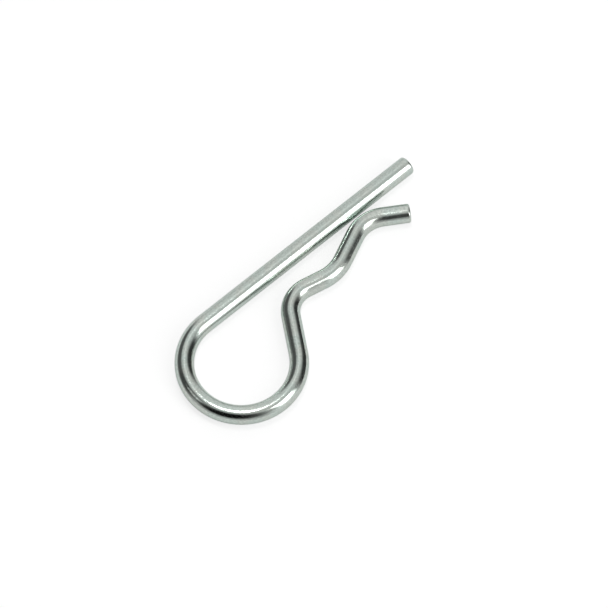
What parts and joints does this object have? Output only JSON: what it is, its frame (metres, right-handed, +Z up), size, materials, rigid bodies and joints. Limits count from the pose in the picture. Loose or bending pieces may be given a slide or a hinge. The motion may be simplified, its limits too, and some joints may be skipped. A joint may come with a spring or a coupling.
{
  "type": "hitch pin",
  "caption": "Hairpin hitch pin bent from round spring wire: a straight leg, an open round eye and a wavy leg with a flared end.",
  "frame": {"origin": "centre of the eye, on the plane that the wire lies on", "axes": "+X along the straight leg towards its end, +Y from the centre of the eye towards the straight leg, +Z up, square to the plane of the clip"},
  "size_m": [0.0694, 0.0274, 0.004],
  "materials": {
    "zinc_plated_wire": "bright zinc plating on drawn spring wire"
  },
  "bodies": {
    "root": {"hitch_pin": "zinc_plated_wire"}
  },
  "joints": []
}
